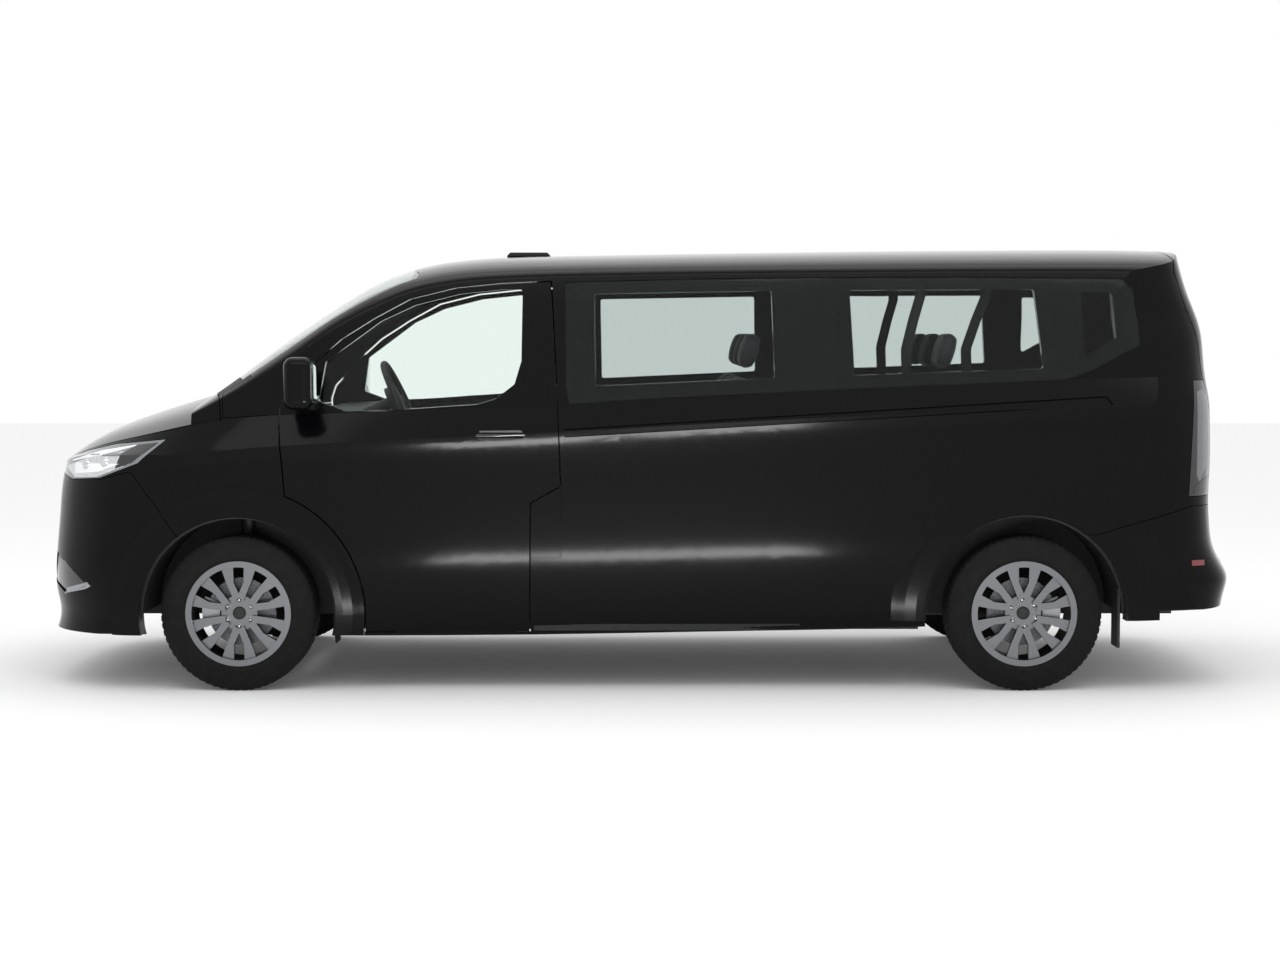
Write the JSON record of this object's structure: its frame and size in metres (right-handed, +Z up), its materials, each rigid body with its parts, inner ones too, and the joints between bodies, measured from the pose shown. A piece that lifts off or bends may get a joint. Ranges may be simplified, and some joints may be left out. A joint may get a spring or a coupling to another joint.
{
  "type": "passenger minibus",
  "caption": "Long wheelbase passenger van with steered front wheels, hinged front doors, fixed sliding door, lifting bonnet and tailgate, seat rows and side glazing.",
  "frame": {"origin": "on the ground under the middle of the bounding box", "axes": "+X towards the tail, -Y towards the vehicle's left side, +Z up"},
  "size_m": [5.4433, 2.275, 1.9851],
  "materials": {
    "body_paint": "gloss",
    "black_plastic": "satin",
    "glass": "gloss",
    "tyre": "matte",
    "rim_alloy": "machined",
    "disc_steel": "satin",
    "chassis_steel": "satin",
    "lamp_lens": "gloss",
    "tail_lens": "gloss",
    "seat_fabric": "woven",
    "cabin_plastic": "satin"
  },
  "bodies": {
    "body": {"body_side_left": "body_paint", "body_side_right": "body_paint", "sliding_door_right": "body_paint", "roof_panel": "body_paint", "front_wings": "body_paint", "front_bumper": "body_paint", "rear_bumper": "body_paint", "grille": "black_plastic", "headlamps": "lamp_lens", "tail_lamps": "tail_lens", "windscreen": "glass", "side_glass": "glass", "cowl_panel": "black_plastic", "dashboard": "cabin_plastic", "steering_wheel": "cabin_plastic", "front_seats": "seat_fabric", "bench_seats": "seat_fabric", "engine_block": "chassis_steel", "exhaust": "chassis_steel", "fuel_tank": "black_plastic", "front_subframe": "chassis_steel", "rear_axle": "chassis_steel", "arch_liners": "black_plastic", "floor_pan": "chassis_steel", "aerial_pod": "body_paint"},
    "bonnet": {"bonnet": "body_paint"},
    "tailgate": {"tailgate": "body_paint", "tailgate_glass": "glass"},
    "door_left": {"front_door_left": "body_paint", "door_glass_left": "glass", "mirror_left": "body_paint"},
    "door_right": {"front_door_right": "body_paint", "door_glass_right": "glass", "mirror_right": "body_paint"},
    "filler_flap": {"fuel_flap": "body_paint"},
    "steer_left": {"knuckle_left": "chassis_steel"},
    "steer_right": {"knuckle_right": "chassis_steel"},
    "wheel_front_left": {"tyre_front_left": "tyre", "rim_front_left": "rim_alloy", "disc_front_left": "disc_steel"},
    "wheel_front_right": {"tyre_front_right": "tyre", "rim_front_right": "rim_alloy", "disc_front_right": "disc_steel"},
    "wheel_rear_left": {"tyre_rear_left": "tyre", "rim_rear_left": "rim_alloy", "disc_rear_left": "disc_steel"},
    "wheel_rear_right": {"tyre_rear_right": "tyre", "rim_rear_right": "rim_alloy", "disc_rear_right": "disc_steel"}
  },
  "joints": [
    {"name": "steer_left_turn", "type": "hinge", "parent": "body", "child": "steer_left", "pos_m": [-1.782, -0.808, 0.345], "axis": [0, 0, 1], "range_deg": [-35, 35]},
    {"name": "steer_right_turn", "type": "hinge", "parent": "body", "child": "steer_right", "pos_m": [-1.782, 0.808, 0.345], "axis": [0, 0, 1], "range_deg": [-35, 35]},
    {"name": "wheel_front_left_roll", "type": "hinge", "parent": "steer_left", "child": "wheel_front_left", "pos_m": [-1.782, -0.87, 0.345], "axis": [0, 1, 0], "continuous": true},
    {"name": "wheel_front_right_roll", "type": "hinge", "parent": "steer_right", "child": "wheel_front_right", "pos_m": [-1.782, 0.87, 0.345], "axis": [0, 1, 0], "continuous": true},
    {"name": "wheel_rear_left_roll", "type": "hinge", "parent": "body", "child": "wheel_rear_left", "pos_m": [1.718, -0.87, 0.345], "axis": [0, 1, 0], "continuous": true},
    {"name": "wheel_rear_right_roll", "type": "hinge", "parent": "body", "child": "wheel_rear_right", "pos_m": [1.718, 0.87, 0.345], "axis": [0, 1, 0], "continuous": true},
    {"name": "door_left_swing", "type": "hinge", "parent": "body", "child": "door_left", "pos_m": [-1.59303, -0.996, 0.9], "axis": [0, 0, -1], "range_deg": [0, 68]},
    {"name": "door_right_swing", "type": "hinge", "parent": "body", "child": "door_right", "pos_m": [-1.59303, 0.996, 0.9], "axis": [0, 0, 1], "range_deg": [0, 68]},
    {"name": "bonnet_lift", "type": "hinge", "parent": "body", "child": "bonnet", "pos_m": [-1.74, 0, 1.3205], "axis": [0, 1, 0], "range_deg": [0, 50]},
    {"name": "tailgate_lift", "type": "hinge", "parent": "body", "child": "tailgate", "pos_m": [2.4198, 0, 1.986], "axis": [0, -1, 0], "range_deg": [0, 82]},
    {"name": "flap_swing", "type": "hinge", "parent": "body", "child": "filler_flap", "pos_m": [-0.34553, -1.0018, 0.75], "axis": [0, 0, 1], "range_deg": [0, 95]}
  ],
  "couplings": [
    {"joint": "steer_right_turn", "follows": "steer_left_turn", "ratio": 1}
  ]
}
